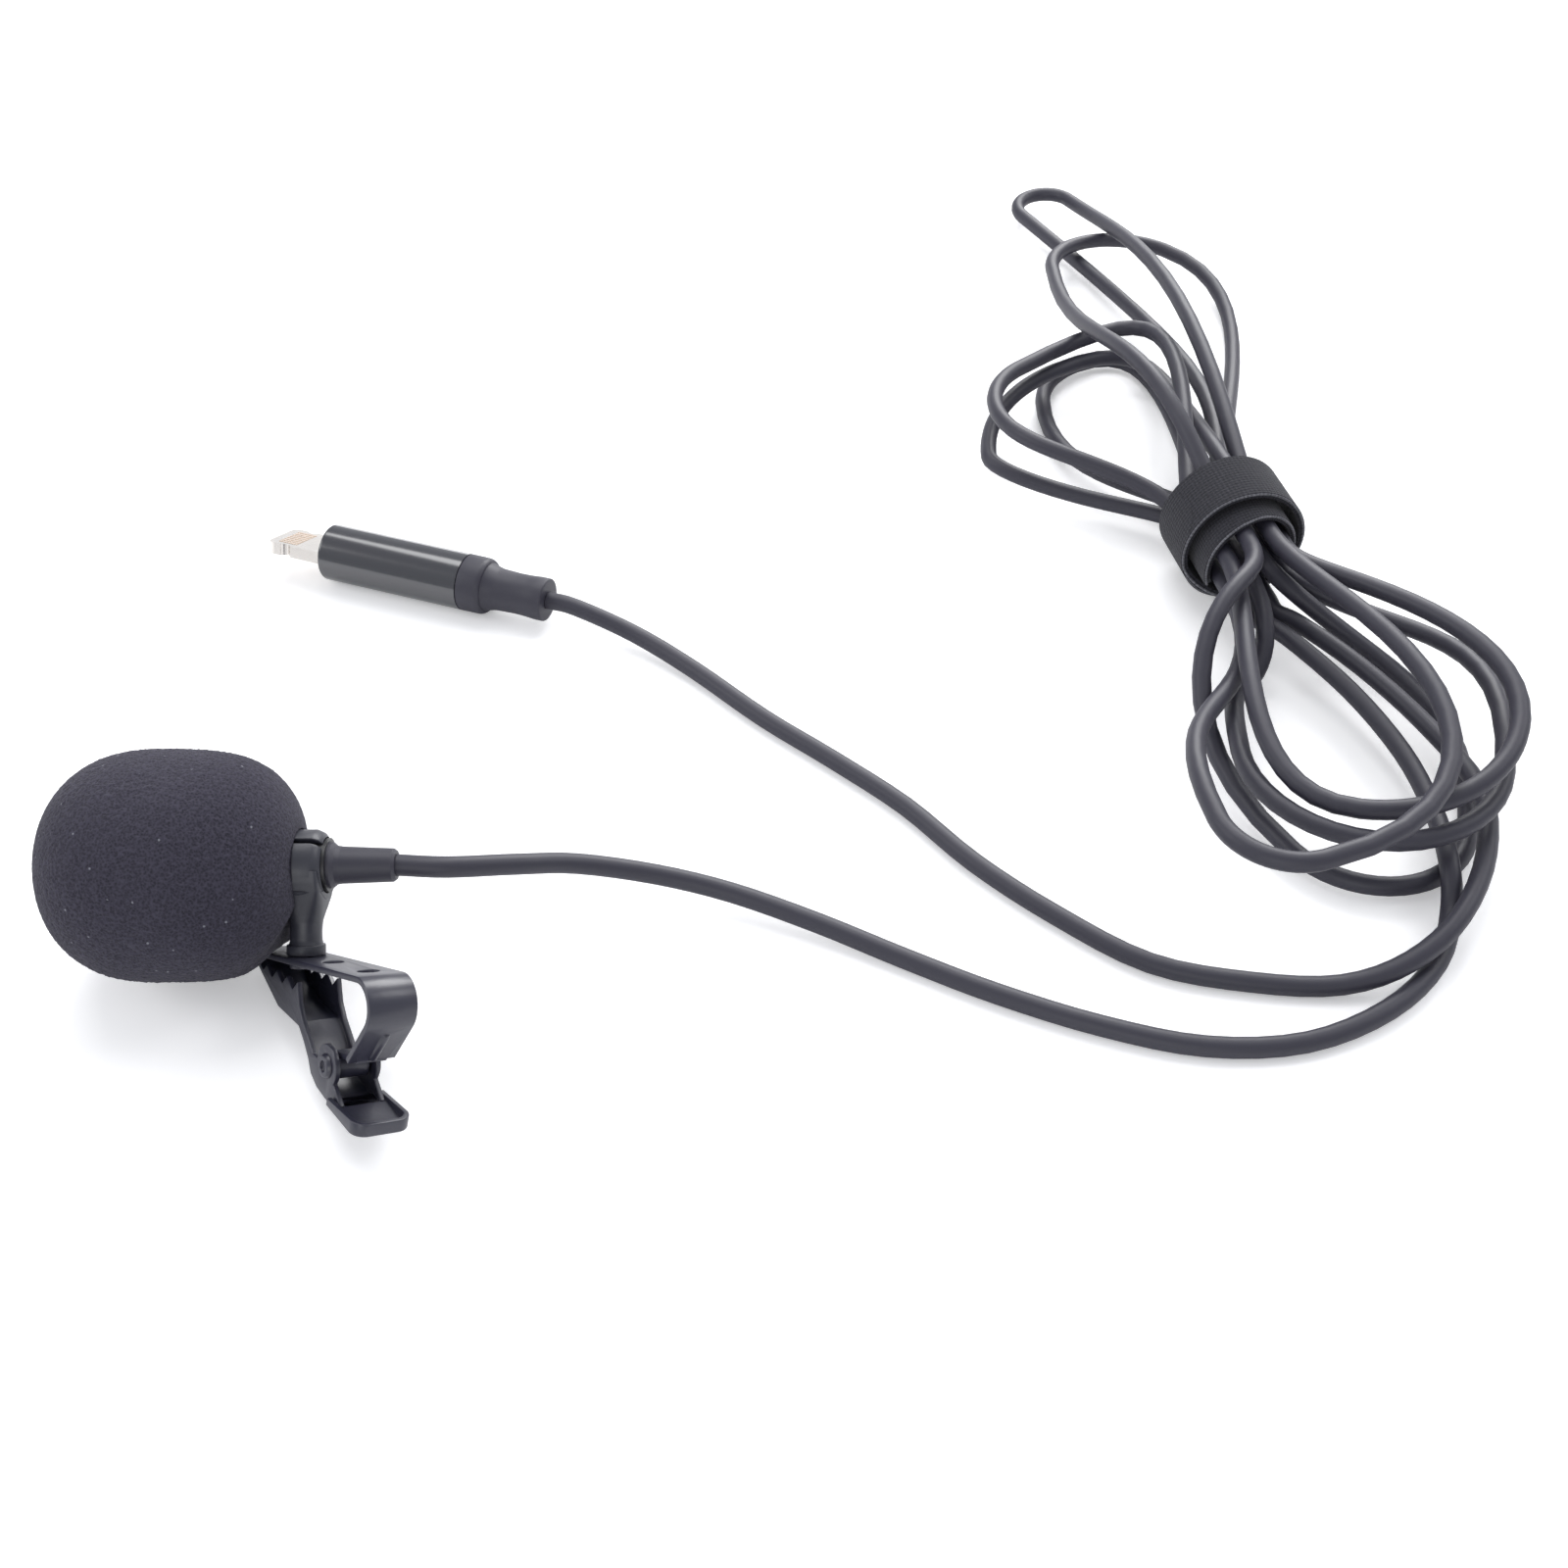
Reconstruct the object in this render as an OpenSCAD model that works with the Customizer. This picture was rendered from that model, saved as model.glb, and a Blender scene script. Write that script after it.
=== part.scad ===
// Lavalier microphone on a tie clip, with its cord tied up in a hank and a flat eight-contact plug.
// Millimetres. The microphone's axis runs along X, its foam at -X. The table top is z = 0.

/* [Microphone head] */
// Height of the microphone's axis above the table
axis_z = 12.4; // [12.4:0.1:12.7]
// Outer diameter of the foam windscreen
foam_d = 23.7; // [23:0.1:23.7]
// Length of the foam windscreen
foam_length = 25; // [24:0.5:25]
// How square the foam's outline is, 2 for an ellipse
foam_squareness = 2.1; // [2:0.05:2.15]
// Diameter of the capsule housing
housing_d = 5.4; // [5.2:0.1:5.5]
// Length of the capsule housing
housing_length = 17.2; // [16.8:0.1:17.4]
// Thickness of the housing's wall
housing_wall = 0.3; // [0.25:0.05:0.35]
// Diameter of the electret capsule
capsule_d = 4.3; // [4:0.1:4.4]
// Length of the strain relief behind the housing
relief_length = 6.6; // [5:0.2:8]

/* [Holder] */
// Outer diameter of the split ring round the housing
ring_d = 7.1; // [6.8:0.1:7.4]
// Width of the split ring along the housing
ring_width = 3.7; // [3.4:0.1:3.9]
// Width of the ring's split
split = 0.6; // [0.4:0.1:0.9]
// Distance from the microphone's axis to the clip's upper face
stem_drop = 9; // [9:0.1:9.2]
// Lean of the holder and clip about the microphone's axis, in degrees
lean = 43; // [43:1:45]
// Turn of the clip on its swivel, in degrees
clip_turn = 51; // [50:1:52]

/* [Tie clip] */
// Width of the spring strip
strip_width = 4.8; // [4.7:0.1:5]
// Thickness of the spring strip
strip_t = 0.6; // [0.5:0.05:0.6]
// Radius of the spring strip's bend
bend_r = 2.8; // [2.7:0.1:2.8]
// Diameter of the two spare holes in the spring strip
spare_hole_d = 2.1; // [2:0.1:2.4]
// Width of the toothed jaw
jaw_width = 4.6; // [4.6:0.1:5]
// Thickness of the jaw's sheet
jaw_t = 0.5; // [0.4:0.05:0.55]
// Number of gaps between the teeth on each side of the jaw
tooth_gaps = 4; // [3:1:5]
// Diameter of the pivot rivet
pin_d = 1.5; // [1.3:0.1:1.6]

/* [Cord] */
// Diameter of the cord
cord_d = 2.2; // [2:0.1:2.2]

/* [Cable tie] */
// Outer diameter of the wound tie
tie_d = 16.3; // [16.2:0.1:16.4]
// Thickness of one layer of the tie
tie_t = 1.2; // [1:0.1:1.3]
// Width of the tie's strap
tie_width = 12; // [11:0.5:12]

/* [Plug] */
// Diameter of the plug's barrel
barrel_d = 7.2; // [7:0.1:7.2]
// Length of the plug's barrel
barrel_length = 19.4; // [18:0.2:20]
// Length of the rubber collar behind the barrel
collar_length = 4.8; // [4:0.2:5.4]
// Diameter of the plug's strain relief
plug_relief_d = 5.5; // [5:0.1:6]
// Length of the plug's strain relief
plug_relief_length = 6.4; // [5:0.2:8]
// Width of the plug's tongue
tongue_width = 6.7; // [6.6:0.05:6.7]
// Thickness of the plug's tongue
tongue_t = 1.5; // [1.4:0.05:1.5]
// Length of tongue that stands out of the barrel
tongue_length = 7.4; // [6:0.2:8]

/* [Hidden] */
$fn = 48;

// Places along the microphone's axis.
mic_y = 7.1;
housing_back = 9.3;
housing_front = housing_back - housing_length;
foam_mouth = 5.05;
ring_front = 5.3;
swivel_x = 6.8;
relief_end = housing_back + relief_length;
fit = 0.05;
housing_r = housing_d / 2;
housing_bore_r = housing_r - housing_wall;
insert_r = housing_bore_r - 0.02;

// Stack inside the housing, measured back from its front face.
lip_t = 0.4;
grille_t = 0.3;
felt_t = 0.5;
gasket_length = 3;
capsule_length = 2.4;
board_t = 0.6;
bush_length = 2.4;
grille_x = housing_front + lip_t;
felt_x = grille_x + grille_t;
capsule_x = felt_x + felt_t;
board_x = capsule_x + gasket_length;

// Swivel stud through the strip, with its neck inside the holder's stem.
stem_bottom = stem_drop - fit;
stud_r = 1.2;
stud_neck_r = 0.8;
stud_neck = 2.2;
stud_head_r = 1.6;
stud_head_t = 0.6;

// Clip outline in its own plane: u runs back from the swivel, n up from the strip's upper face.
strip_front = -8.5;
nose_corner = 2;
bend_u = 16.5;
bend_sweep = 138;
lower_run = 5.2;
tongue_half = 1.5;
pin = [9.7, -9.3];
knuckle_t = 0.55;
knuckle_r = pin_d / 2 + fit + knuckle_t;
tongue_reach = 4.9;
spare_holes = [6.3, 14];
bead_r = 0.45;
bead_start = 1.2;
bead_length = 3.4;
ear_r = 2.1;
tooth_front = [-6.9, -0.9];
tooth_back = [3.1, -2.1];
tooth_depth = 1;
jaw_bottom = [
  [-7.3, -1.1], [-6.2, -1.9], [-1.7, -5.1], [3.3, -6.4], [4.4, -7.7],
  [5.4, -9.2], [6, -10.6], [7.3, -11.7], [9.4, -12.6], [11.2, -13]
];
jaw_upper_edge = [[12.6, -12.7], [11.3, -11.1], [9.7, -9.3], [6.6, -8.6], [4.4, -6], [3.5, -4.4]];
tail_start = [10.8, -12.75];
tail_slope = 19;
tail_length = 6.5;
tail_half = 2.9;
tail_rim = 1.3;
tail_t = 0.55;

// Tie: centre of its near rim, and the heading of its axis.
tie_centre = [111.9, 64.6, 8.2];
tie_heading = -79;
tie_low = 3.5;

// Plug: centre of the end of its strain relief, and the heading from tongue to strain relief.
plug_end = [24.9, 59.8, 3.6];
plug_heading = -19;
plug_roll = 21;
barrel_start = plug_relief_length + collar_length;
barrel_bore_r = 3;
face_t = 1.2;
contact_count = 8;
contact_pitch = 0.62;
relief_spigot_r = 1.6;
board_width = 4.8;
converter_start = barrel_start + 3.4;
converter_length = 12;

// Cord: the free leads, in order from the microphone and from the plug.
cord_r = cord_d / 2;
mic_route = [
  [relief_end, mic_y, axis_z], [21, mic_y, 12.1], [27.5, 9.5, 9.9], [33, 12.2, 7], [41, 13.2, 4.2],
  [49, 12.2, 2.4], [58, 8.7, 1.6], [67, 4.2, 1.2], [76, -0.3, 1.2], [86, -4.3, 1.2], [96, -6.8, 1.2],
  [106, -6.3, 1.2], [115, -2.3, 1.2], [121.5, 3.7, 1.2], [124.5, 10.2, 2], [125, 15.2, 4.3],
  [125.5, 23.2, 4], [124.5, 32.2, 3.9], [121, 42.2, 4.1], [115.5, 51.7, 4.4]
];
plug_route = [
  plug_end, [28.5, 58.6, 3.4], [36, 55.2, 1.9], [43.5, 49.2, 1.3], [52, 40.7, 1.2],
  [60, 33.7, 1.2], [68, 26.2, 1.2], [75, 17.7, 1.2], [83, 10.2, 1.2], [92, 3.7, 1.2], [102, 1.2, 1.2],
  [111, 0.7, 1.4], [118, 2.4, 3.1], [124, 7.2, 4.5], [129, 15.7, 4.9], [131, 25.2, 4.9],
  [128, 36.2, 4.5], [123, 46.2, 4.5], [117.5, 54.2, 4.4]
];

// Hank: ten straight passes through the tie, eight in a ring and two inside it, numbered from the
// right and counterclockwise as seen from the near side, then left and right inside.
pass_ring_r = 4.25;
pass_core_x = 1.4;
pass_order = [5, 1, 4, 3, 0, 9, 2, 7, 8, 6];
// Lobes in the order the cord runs, by turns on the far and the near side of the tie. Each row has
// the tip, the heading there, the turn (1 left, -1 right), the radius and half sweep of the round
// end, its rise, the handles of the runs out and back, and how far each run arches up.
lobes = [
  [[85.5, 101.5, 5], 61, -1, 24, 29, 0.5, [7, 5, 28, 25], [-1, -4.5]],
  [[102, 8, 13], 149, -1, 7.5, 48, 0, [13, 34, 23, 25], [2.5, -1]],
  [[84, 99.5, 9], 74, -1, 15, 28, -0.5, [10, 12, 48, 7], [0.5, 3.5]],
  [[126.5, 19, 11], 27, 1, 14.5, 46, 2, [11, 16, 15, 6], [2, 0.5]],
  [[96.5, 170, 3], -153, 1, 4.5, 93, -0.5, [4, 19, 63, 13], [7, 2.5]],
  [[120.5, 14, 1.5], -173, -1, 11, 65, 0, [8, 34, 35, 13], [-2.5, 5]],
  [[103.5, 151, 4.5], 27, -1, 12.5, 61, -1, [6, 43, 24, 22], [7.5, -3]],
  [[116.5, 15, 7.5], 169, -1, 14, 82, -1, [5, 36, 23, 22], [-3.5, -4]],
  [[94, 114, 1.5], -121, 1, 13, 27, 0, [7, 22, 24, 9], [-2.5, 0.5]]
];
run_steps = 9;
end_steps = 6;
end_stub = 2.5;
lead_steps = 2;
measure_steps = 6;
measure_skip = 21;

// Pointing and placing.
function unit(v) = v / norm(v);
function level(a) = [cos(a), sin(a), 0];
tie_axis = level(tie_heading);
tie_right = level(tie_heading + 90);
tie_high = tie_low - tie_width;

// Offset of a pass from the tie's axis, to the right and up.
function pass_offset(n) = n < 8
  ? pass_ring_r * [cos(22.5 + 45 * n), sin(22.5 + 45 * n)]
  : [pass_core_x * (2 * n - 17), 0];
// Point on pass n at distance s along the tie.
function pass_point(n, s) = let (o = pass_offset(n))
  tie_centre + tie_axis * s + tie_right * o[0] + [0, 0, o[1]];

function bezier(a, b, c, d, f) =
  pow(1 - f, 3) * a + 3 * pow(1 - f, 2) * f * b + 3 * (1 - f) * f * f * c + pow(f, 3) * d;
// Point of a lobe's round end, g degrees past its tip, and the way the cord travels there.
function end_point(l, g) = let (ahead = level(l[1]), side = l[2] * level(l[1] + 90))
  l[0] + l[3] * (side + ahead * sin(g) - side * cos(g)) + [0, 0, l[5] * g / l[4]];
function end_travel(l, g) = let (ahead = level(l[1]), side = l[2] * level(l[1] + 90))
  ahead * cos(g) + side * sin(g) + [0, 0, l[5] / (l[3] * l[4] * PI / 180)];
// A run between the tie and a round end: a cubic curve that also arches.
function run(a, b, c, d, arch, last) = [
  for (k = [0:last]) bezier(a, b, c, d, k / run_steps)
    + [0, 0, arch * pow(sin(180 * k / run_steps), 2)]
];
function lobe(i) = let (
  l = lobes[i],
  edge = i % 2 == 0 ? tie_high : tie_low,
  away = i % 2 == 0 ? -tie_axis : tie_axis,
  a = pass_point(pass_order[i], edge),
  b = pass_point(pass_order[i + 1], edge),
  p = end_point(l, -l[4]),
  q = end_point(l, l[4]),
  h = l[6]
) concat(
  run(a, a + away * h[0], p - end_travel(l, -l[4]) * h[1], p, l[7][0], run_steps - 1),
  [for (k = [0:end_steps - 1]) end_point(l, l[4] * (2 * k / end_steps - 1))],
  run(q, q + end_travel(l, l[4]) * h[2], b + away * h[3], b, l[7][1], run_steps)
);
hank_start = pass_point(pass_order[0], tie_low + end_stub);
hank_end = pass_point(pass_order[9], tie_low + end_stub);
hank_route = concat(
  [hank_start, pass_point(pass_order[0], tie_low)],
  [for (i = [0:len(lobes) - 1]) each lobe(i)],
  [pass_point(pass_order[9], tie_low), hank_end]
);

// A lead's route runs on into the tie and is rounded between its points.
function lead_points(route, n) = concat(
  route,
  [pass_point(n, tie_low + 2 * end_stub), pass_point(n, tie_low + end_stub)]
);
function spline(p, i, f) = let (
  n = len(p) - 1,
  before = i == 0 ? 2 * p[0] - p[1] : p[i - 1],
  after = i + 2 > n ? 2 * p[n] - p[n - 1] : p[i + 2]
) 0.5 * (
  2 * p[i] + (p[i + 1] - before) * f
  + (2 * before - 5 * p[i] + 4 * p[i + 1] - after) * f * f
  + (3 * p[i] - before - 3 * p[i + 1] + after) * f * f * f
);
function lead_route(p) = concat(
  [for (i = [0:len(p) - 2], k = [0:lead_steps - 1]) spline(p, i, k / lead_steps)],
  [p[len(p) - 1]]
);

// Least distance between the hank's surfaces, along and across, on points between its rings.
function between_rings(p) = [
  for (i = [0:len(p) - 2], k = [0:measure_steps - 1]) p[i] + (p[i + 1] - p[i]) * k / measure_steps
];
function least_gap(p) = let (skip = measure_skip)
  min([for (i = [0:len(p) - 1 - skip]) min([for (j = [i + skip:len(p) - 1]) norm(p[i] - p[j])])])
  - cord_d;

// A cord of flat sides and triangles, swept along its route.
function travel(p, i) = unit(p[min(i + 1, len(p) - 1)] - p[max(i - 1, 0)]);
function cord_ring(p, i, sides) = let (t = travel(p, i), side = unit(cross(t, [0, 0, 1])))
  [for (k = [0:sides - 1]) let (a = 360 * k / sides)
    p[i] + cord_r * (side * cos(a) + cross(side, t) * sin(a))];
module swept_cord(p, sides) {
  last = (len(p) - 1) * sides;
  polyhedron(
    points = [for (i = [0:len(p) - 1]) each cord_ring(p, i, sides)],
    faces = concat(
      [for (k = [1:sides - 2]) [0, k, k + 1]],
      [for (i = [0:len(p) - 2], k = [0:sides - 1])
        let (a = i * sides + k, b = i * sides + (k + 1) % sides)
        each [[a, a + sides, b + sides], [a, b + sides, b]]],
      [for (k = [1:sides - 2]) [last, last + k + 1, last + k]]
    )
  );
}

// Frames that the pieces are drawn in.
module along_axis(x) {
  translate([x, mic_y, axis_z]) rotate([0, 90, 0]) children();
}
module leaning() {
  translate([swivel_x, mic_y, axis_z]) rotate([-lean, 0, 0]) children();
}
module on_clip() {
  leaning() translate([0, 0, -stem_drop]) rotate([0, 0, -clip_turn]) children();
}
module round_tie() {
  translate(tie_centre) rotate([0, 0, tie_heading]) rotate([0, 90, 0]) children();
}
module along_plug(z) {
  translate(plug_end) rotate([0, 0, plug_heading]) rotate([0, -90, 0]) rotate([0, 0, plug_roll])
    translate([0, 0, z]) children();
}
module side_cut(width) {
  rotate([90, 0, 0]) linear_extrude(width, center = true) children();
}
module pipe(r, bore_r, length) {
  difference() {
    cylinder(r = r, h = length);
    translate([0, 0, -1]) cylinder(r = bore_r, h = length + 2);
  }
}
module round_ended(length, width, corner) {
  translate([0, -width / 2]) square([length - corner, width]);
  translate([0, -width / 2 + corner]) square([length, width - 2 * corner]);
  for (side = [-1, 1]) translate([length - corner, side * (width / 2 - corner)]) circle(r = corner);
}

// Microphone head.
function foam_point(a) = let (e = 2 / foam_squareness)
  [foam_d / 2 * pow(sin(a), e), -foam_length / 2 * sign(cos(a)) * pow(abs(cos(a)), e)];
module foam_windscreen() {
  steps = 24;
  color("#36363c") difference() {
    along_axis(foam_mouth - foam_length / 2)
      rotate_extrude() polygon([for (i = [0:steps]) foam_point(180 * i / steps)]);
    along_axis(housing_front - fit) cylinder(r = housing_r + fit, h = housing_length);
  }
}
module capsule_housing() {
  color("#2c2d31") along_axis(housing_front) difference() {
    cylinder(r = housing_r, h = housing_length);
    translate([0, 0, lip_t]) cylinder(r = housing_bore_r, h = housing_length);
    translate([0, 0, -1]) cylinder(r = housing_bore_r - lip_t, h = housing_length);
  }
}
module front_grille() {
  hole_pitch = 0.75;
  color("#3a3b40") along_axis(grille_x) difference() {
    cylinder(r = insert_r, h = grille_t);
    translate([0, 0, -1]) cylinder(d = 0.4, h = 3);
    for (row = [1:2], i = [0:6 * row - 1]) rotate([0, 0, 60 / row * i])
      translate([hole_pitch * row, 0, -1]) cylinder(d = 0.4, h = 3);
  }
}
module dust_felt() {
  color("#1c1c1e") along_axis(felt_x) cylinder(r = insert_r, h = felt_t);
}
module capsule_gasket() {
  color("#26262a") along_axis(capsule_x) pipe(insert_r, capsule_d / 2 + 0.02, gasket_length);
}
module electret_capsule() {
  color("#c8ccd0") along_axis(capsule_x) difference() {
    union() {
      cylinder(d = capsule_d, h = capsule_length);
      for (side = [-1, 1]) translate([side * 1.1, 0, capsule_length - 0.1]) cylinder(r = 0.5, h = 0.3);
    }
    translate([0, 0, -0.1]) cylinder(r = 0.5, h = 0.4);
  }
}
module amplifier_board() {
  color("#2f6b3f") along_axis(board_x) {
    cylinder(r = insert_r, h = board_t);
    translate([-0.9, -1.5, board_t]) cube([1.8, 1.1, 0.5]);
    for (y = [0, 0.9]) translate([-1.4, y, board_t]) cube([0.8, 0.5, 0.35]);
  }
}
module core_wires() {
  color("#b03a30") along_axis(board_x + board_t) for (side = [-1, 1])
    translate([1.2 - 0.7, 0.95 + side * 0.35, 0]) cylinder(r = 0.25, h = housing_back - board_x - board_t);
}
module rear_bush() {
  color("#202024") along_axis(housing_back - bush_length) difference() {
    cylinder(r = insert_r, h = bush_length);
    translate([0, 0.5, -1]) cylinder(r = 1.2, h = bush_length + 2);
  }
}
module mic_strain_relief() {
  outline = [
    [0, 0], [2.3, 0], [2.3, 0.3], [1.95, 0.7], [1.87, 1.2],
    [1.68, relief_length - 0.3], [1.45, relief_length], [0, relief_length]
  ];
  color("#313238") along_axis(housing_back) rotate_extrude() polygon(outline);
}

// Holder.
module holder_ring() {
  flange_t = 1.1;
  flange_r = 1.9;
  ring_r = ring_d / 2;
  ring = [
    [0, 0], [ring_r - 0.15, 0], [ring_r, 0.15], [ring_r, ring_width - 1],
    [ring_r - 0.3, ring_width - 0.35], [ring_r - 0.75, ring_width], [0, ring_width]
  ];
  stem = [
    [0, -2.4], [3.3, -2.4], [2.6, -3], [2, -3.6], [1.6, -4.3], [1.35, -5],
    [1.3, -5.8], [1.3, -6.8], [1.5, -7.4], [1.5, -stem_bottom], [0, -stem_bottom]
  ];
  color("#2e2f34") difference() {
    union() {
      along_axis(ring_front) rotate_extrude() polygon(ring);
      intersection() {
        leaning() rotate_extrude() polygon(stem);
        translate([ring_front, -20, -20]) cube([ring_width, 60, 60]);
      }
      leaning() translate([0, 0, flange_t - stem_drop]) mirror([0, 0, 1])
        cylinder(r = flange_r, h = flange_t - fit);
    }
    along_axis(ring_front - 1) cylinder(r = housing_r + fit / 2, h = ring_width + 2);
    translate([ring_front - 1, mic_y - split / 2, axis_z]) cube([ring_width + 2, split, ring_d]);
    leaning() translate([0, 0, -stem_bottom - 1]) cylinder(r = stud_neck_r + 0.01, h = 1 + stud_neck);
  }
}
module swivel_stud() {
  color("#4a4b50") leaning() translate([0, 0, -stem_drop - strip_t - fit]) {
    mirror([0, 0, 1]) cylinder(r = stud_head_r, h = stud_head_t);
    cylinder(r = stud_r, h = strip_t + 2 * fit);
    cylinder(r = stud_neck_r, h = strip_t + 2 * fit + stud_neck);
  }
}

// Tie clip.
module knuckle_outline() {
  difference() {
    union() {
      translate(pin) circle(r = knuckle_r);
      translate([pin[0], pin[1] + knuckle_r - knuckle_t]) square([tongue_reach, knuckle_t]);
    }
    translate(pin) circle(r = pin_d / 2 + fit);
  }
}
function bend_way(g) = [sin(g), cos(g)];
function bend_point(r, g) = [bend_u, -bend_r] + r * bend_way(g);
module strip_outline() {
  bend_steps = 22;
  outer = [for (i = [0:bend_steps]) bend_point(bend_r, bend_sweep * i / bend_steps)];
  inner = [for (i = [bend_steps:-1:0]) bend_point(bend_r - strip_t, bend_sweep * i / bend_steps)];
  run = lower_run * bend_way(bend_sweep + 90);
  polygon(concat(
    [[strip_front, -strip_t], [strip_front, 0]], outer,
    [outer[bend_steps] + run, inner[0] + run], inner
  ));
}
module spring_strip() {
  bead = [
    [0, -bead_r], [0.7 * bead_r, -0.7 * bead_r], [bead_r, 0], [bead_r, bead_length],
    [0.7 * bead_r, bead_length + 0.7 * bead_r], [0, bead_length + bead_r]
  ];
  color("#303136") on_clip() difference() {
    union() {
      intersection() {
        side_cut(strip_width) strip_outline();
        translate([strip_front + 40, 0, -20]) mirror([1, 0, 0])
          linear_extrude(30) round_ended(40, strip_width, nose_corner);
      }
      side_cut(2 * tongue_half) knuckle_outline();
      translate([bend_u, 0, -bend_r]) rotate([0, bend_sweep - 90, 0])
        translate([bend_r - 0.1, 0, -bead_start]) rotate([180, 0, 0]) rotate_extrude() polygon(bead);
    }
    translate([0, 0, -2]) cylinder(r = stud_r + fit, h = 4);
    for (u = spare_holes) translate([u, 0, -2]) cylinder(d = spare_hole_d, h = 4);
  }
}
module pivot_rivet() {
  color("#4c4d52") on_clip() translate([pin[0], 0, pin[1]]) rotate([90, 0, 0]) {
    cylinder(d = pin_d, h = jaw_width, center = true);
    for (side = [0, 1]) mirror([0, 0, side]) translate([0, 0, jaw_width / 2])
      difference() {
        cylinder(r1 = 1.25, r2 = 1, h = 0.4);
        translate([0, 0, 0.15]) cylinder(r = 0.55, h = 1);
      }
  }
}
function tip(i) = tooth_back + (tooth_front - tooth_back) * i / tooth_gaps;
teeth = [for (i = [0:tooth_gaps - 1]) each [tip(i), tip(i + 0.5) - [0, tooth_depth]]];
module jaw_wall_outline() {
  polygon(concat(jaw_bottom, jaw_upper_edge, teeth, [tooth_front]));
  translate(pin) circle(r = ear_r);
}
module jaw_floor_outline() {
  inner = [for (i = [len(jaw_bottom) - 1:-1:0]) jaw_bottom[i] + [0.35, 0.45]];
  polygon(concat(jaw_bottom, inner));
}
module jaw_tail() {
  translate([tail_start[0], 0, tail_start[1]]) rotate([0, tail_slope, 0]) difference() {
    linear_extrude(tail_rim) round_ended(tail_length, 2 * tail_half, 1.4);
    translate([-1, 0, tail_t]) linear_extrude(tail_rim)
      round_ended(1 + tail_length - jaw_t, 2 * (tail_half - jaw_t), 1);
    side_cut(3 * tail_half)
      polygon([[-1, tail_t + 0.1], [tail_length - 1.4, tail_rim], [tail_length, 3], [-1, 3]]);
  }
}
module clip_jaw() {
  color("#303136") on_clip() difference() {
    union() {
      for (side = [-1, 1]) translate([0, side * (jaw_width - jaw_t) / 2, 0])
        side_cut(jaw_t) jaw_wall_outline();
      side_cut(jaw_width) jaw_floor_outline();
      jaw_tail();
    }
    translate([pin[0], 0, pin[1]]) rotate([90, 0, 0])
      cylinder(r = pin_d / 2 + 0.01, h = 2 * jaw_width, center = true);
  }
}

// Cord and its tie.
module cord_mic_lead() {
  color("#2b2c33") swept_cord(lead_route(lead_points(mic_route, pass_order[0])), 8);
}
module cord_hank() {
  echo(least_gap_of_hank_mm = least_gap(between_rings(hank_route)));
  color("#2b2c33") swept_cord(hank_route, 6);
}
module cord_plug_lead() {
  color("#2b2c33") swept_cord(lead_route(lead_points(plug_route, pass_order[9])), 8);
}
module cable_tie() {
  color("#3b3b40") round_tie() {
    translate([0, 0, tie_high]) pipe(tie_d / 2, tie_d / 2 - 1.5 * tie_t, -tie_high);
    translate([0, 0, tie_high]) pipe(tie_d / 2 - tie_t, tie_d / 2 - 2 * tie_t, tie_width);
  }
}

// Plug, measured from the end of its strain relief towards the tongue.
module plug_strain_relief() {
  r = plug_relief_d / 2;
  l = plug_relief_length;
  outline = [
    [0, 0], [r - 0.2, 0], [r, 0.3], [r - 0.05, 0.9], [r - 0.2, 0.4 * l], [r - 0.2, 0.7 * l],
    [r - 0.05, l], [relief_spigot_r, l], [relief_spigot_r, l + collar_length + 1], [0, l + collar_length + 1]
  ];
  color("#2d2e34") along_plug(0) rotate_extrude() polygon(outline);
}
module plug_collar() {
  r = barrel_d / 2;
  outline = [
    [relief_spigot_r, 0], [r - 0.6, 0], [r - 0.15, 0.4], [r, 1], [r, collar_length],
    [barrel_bore_r - 0.02, collar_length], [barrel_bore_r - 0.02, collar_length + 1],
    [relief_spigot_r, collar_length + 1]
  ];
  color("#2a2b30") along_plug(plug_relief_length) rotate_extrude() polygon(outline);
}
module plug_barrel() {
  r = barrel_d / 2;
  edge = 0.35;
  rounded = [for (a = [0:15:90]) [r - edge + edge * cos(a), barrel_length - edge + edge * sin(a)]];
  color("#15161a") along_plug(barrel_start) difference() {
    rotate_extrude() polygon(concat([[0, 0], [r, 0]], rounded, [[0, barrel_length]]));
    translate([0, 0, -1]) cylinder(r = barrel_bore_r, h = barrel_length - face_t + 1);
    translate([-tongue_t / 2 - 0.02, -tongue_width / 2 - 0.02, 0])
      cube([tongue_t + 0.04, tongue_width + 0.04, barrel_length + 1]);
  }
}
module plug_inner_body() {
  start = barrel_start + 1.1;
  length = barrel_length - face_t - 1.2;
  color("#d8d8d4") along_plug(start) difference() {
    cylinder(r = barrel_bore_r - 0.02, h = length);
    translate([-1.3, -board_width / 2 - 0.05, 1.5]) cube([2.6, board_width + 0.1, length]);
    translate([0, 0, -1]) cylinder(r = 1.2, h = 4);
  }
}
module converter_board() {
  color("#2f6b3f") along_plug(converter_start) {
    translate([-0.4, -board_width / 2, 0]) cube([0.8, board_width, converter_length]);
    translate([0.4, -1.6, 5]) cube([0.7, 3.2, 3.2]);
    translate([0.4, -1, 1.5]) cube([0.5, 2, 1.2]);
    for (y = [-1.9, 0.9]) translate([-0.9, y, 3]) cube([0.5, 1, 0.6]);
  }
}
module tongue_plan() {
  corner = 1.1;
  root = barrel_start + barrel_length - face_t;
  tip_z = barrel_start + barrel_length + tongue_length;
  rotate(90) translate([root, 0]) round_ended(tip_z - root, tongue_width, corner);
  translate([-board_width / 2, converter_start + converter_length])
    square([board_width, root - converter_start - converter_length]);
}
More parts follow.
